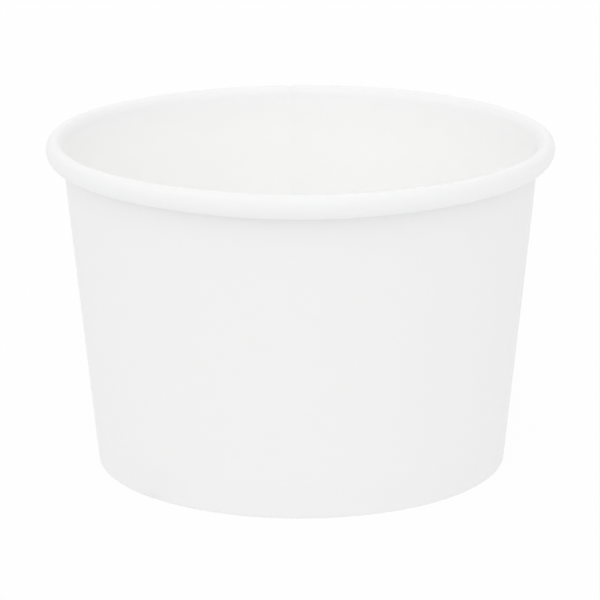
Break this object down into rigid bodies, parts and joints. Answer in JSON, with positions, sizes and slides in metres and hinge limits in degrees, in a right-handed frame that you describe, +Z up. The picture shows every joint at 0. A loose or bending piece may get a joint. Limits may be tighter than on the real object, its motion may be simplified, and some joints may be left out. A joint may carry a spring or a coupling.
{
  "type": "paper soup container",
  "caption": "Squat round tapered paper cup for hot soup, with a thick rolled rim, a lapped side seam and a base set up inside its folded foot.",
  "frame": {"origin": "centre of the ring that the folded foot stands on", "axes": "+Z up along the axis of the cup, towards its mouth; the side seam is on the +Y side"},
  "size_m": [0.09, 0.0904, 0.0589],
  "materials": {
    "sidewall_board": "matt white board with a thin clear coating inside and out, and bare edges",
    "base_board": "matt white board, coated on its upper face"
  },
  "bodies": {
    "root": {"sidewall": "sidewall_board", "base": "base_board"}
  },
  "joints": []
}
